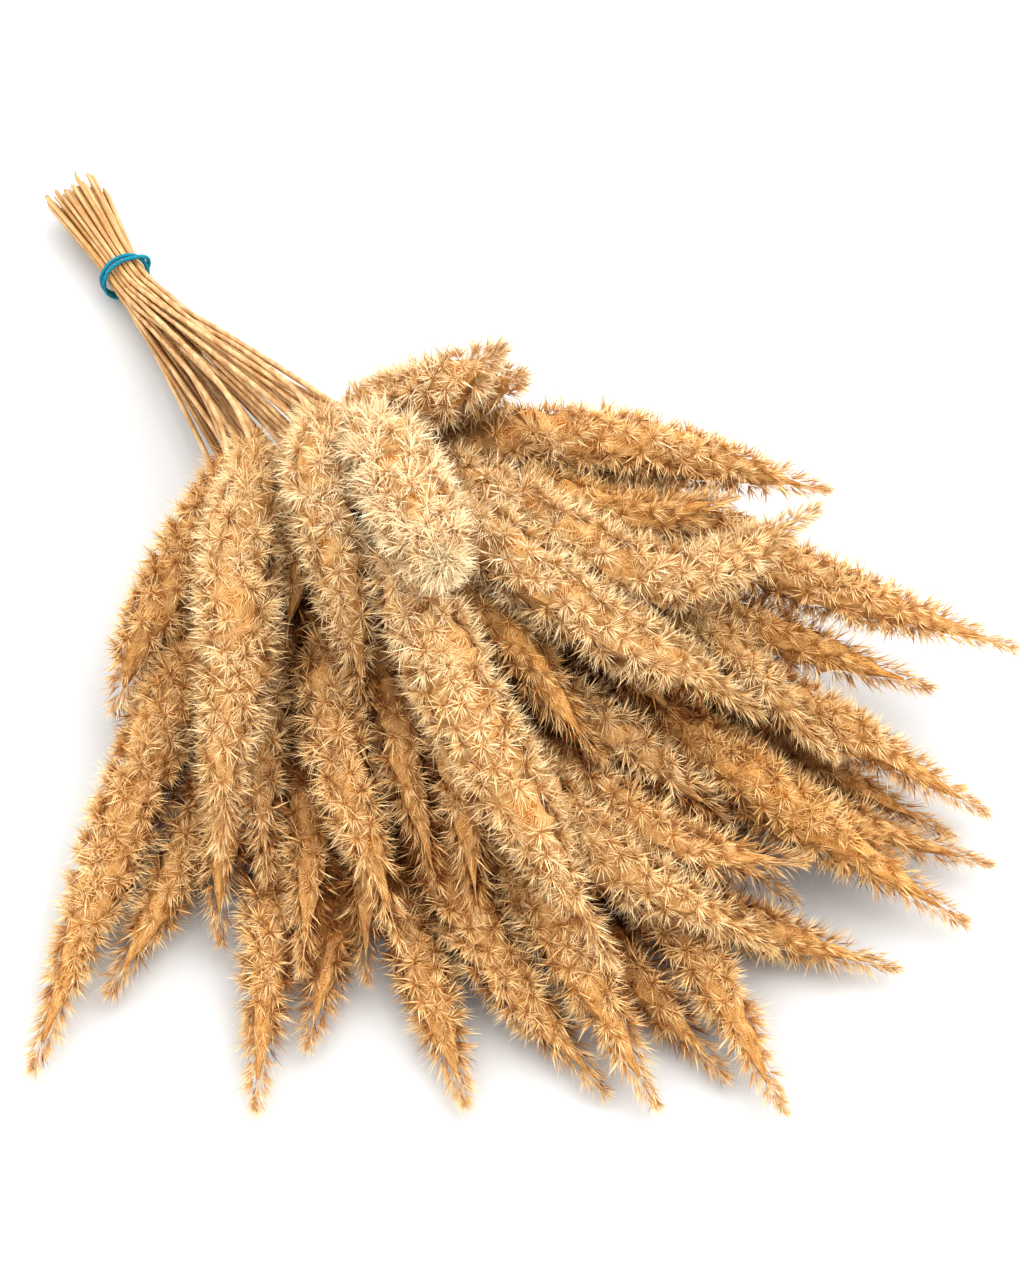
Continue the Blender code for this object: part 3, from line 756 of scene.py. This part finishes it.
low, high = (np.array(corner) for corner in cad_box)
room = PAST_CAD_BOX * (high - low)
for node_name in sorted(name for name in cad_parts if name.startswith("stalk_")):
    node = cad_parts[node_name]
    slot = node.data.materials[0].name
    plume = Plume(node, slot)
    parts = [
        build_stem(plume.spine, plume.foot, plume.total),
        build_core(plume),
        grow_fluff(plume),
    ]
    corners, triangles, places, materials, outwards, shown = map(np.concatenate, zip(*parts))
    starts = np.cumsum([0] + [len(part.corners) for part in parts[:-1]])
    triangles += np.repeat(starts, [len(part.triangles) for part in parts])[:, None]
    corners = np.clip(corners, low - room, high + room)
    corners[:, 2] = np.maximum(corners[:, 2], FLOOR_GAP)
    mesh = bpy.data.meshes.new(node_name.replace("stalk", "reed"))
    mesh.from_pydata(corners, [], triangles)
    mesh.polygons.foreach_set("material_index", materials)
    mesh.polygons.foreach_set("use_smooth", materials == STRAW)
    lay_map(mesh, places)
    mesh.attributes.new("shown", "FLOAT", "POINT").data.foreach_set("value", shown)

    # Each hair takes the light mostly by the way its tuft points, so that the fluff looks soft
    normals = np.empty(len(triangles) * 3)
    mesh.polygons.foreach_get("normal", normals)
    normals = normals.reshape(-1, 3)
    facing = np.sum(normals * outwards, axis=1, keepdims=True)
    normals = unit(normals + np.where(facing > 0, SOFTNESS[1], SOFTNESS[0]) * outwards)
    normals[materials == STRAW] = 0
    mesh.normals_split_custom_set(np.repeat(normals, 3, axis=0).tolist())
    add_piece(mesh.name, mesh, [straw_finish, *plume_finishes[slot]], node_name)


# The floor is a plain white table top that the bundle lies on. It belongs to the picture's stage
# and not to the bundle.
FLOOR_HALF = 4.0
FLOOR_WHITE = (0.56, 0.56, 0.56, 1)
FLOOR_ROUGHNESS = 0.9
bm = bmesh.new()
bmesh.ops.create_grid(bm, x_segments=1, y_segments=1, size=FLOOR_HALF)
floor_mesh = bpy.data.meshes.new("floor")
bm.to_mesh(floor_mesh)
bm.free()
floor = bpy.data.objects.new("floor", floor_mesh)
bpy.context.scene.collection.objects.link(floor)
floor_finish = bpy.data.materials.new("white_table")
floor_finish.use_nodes = True
floor_shader = floor_finish.node_tree.nodes["Principled BSDF"]
floor_shader.inputs["Base Color"].default_value = FLOOR_WHITE
floor_shader.inputs["Roughness"].default_value = FLOOR_ROUGHNESS
floor_mesh.materials.append(floor_finish)

# The light is soft, as in a studio: a bright white room, and one large lamp high above the right
# side of the bundle.
ROOM_LIGHT = 2.04
LAMP_PLACE = (0.58, -0.22, 1.45)
LAMP_SIZE = 1.5
LAMP_POWER = 11.0
world = bpy.data.worlds.new("white_room")
world.use_nodes = True
room_shader = world.node_tree.nodes["Background"]
room_shader.inputs["Strength"].default_value = ROOM_LIGHT
room_shader.inputs["Color"].default_value = (1, 1, 1, 1)
bpy.context.scene.world = world
lamp = bpy.data.lights.new("key_lamp", "AREA")
lamp.size, lamp.energy = LAMP_SIZE, LAMP_POWER
lamp_object = bpy.data.objects.new("key_lamp", lamp)
lamp_object.location = LAMP_PLACE
lamp_object.rotation_euler = (-Vector(LAMP_PLACE)).to_track_quat("-Z", "Y").to_euler()
bpy.context.scene.collection.objects.link(lamp_object)

# The camera looks down at 50 degrees, 1.25 m from a point on the table under the plumes. The
# view's gamma raises the picture's contrast a little.
VIEW_FROM_TIE = (57.73 * MM, -283.79 * MM)
VIEW_AWAY = (0.485, 0.875)
VIEW_DOWN = math.radians(50)
VIEW_DISTANCE = 1.25
LENS = 80
GAMMA = 0.77
camera_data = bpy.data.cameras.new("camera")
camera_data.lens = LENS
camera = bpy.data.objects.new("camera", camera_data)
target = Vector((tie[0] + VIEW_FROM_TIE[0], tie[1] + VIEW_FROM_TIE[1], 0))
level = math.cos(VIEW_DOWN)
back = Vector((-VIEW_AWAY[0] * level, -VIEW_AWAY[1] * level, math.sin(VIEW_DOWN))).normalized()
camera.location = target + VIEW_DISTANCE * back
camera.rotation_euler = (-back).to_track_quat("-Z", "Y").to_euler()
bpy.context.scene.collection.objects.link(camera)
bpy.context.scene.camera = camera
bpy.context.scene.view_settings.view_transform = "Standard"
bpy.context.scene.view_settings.gamma = GAMMA
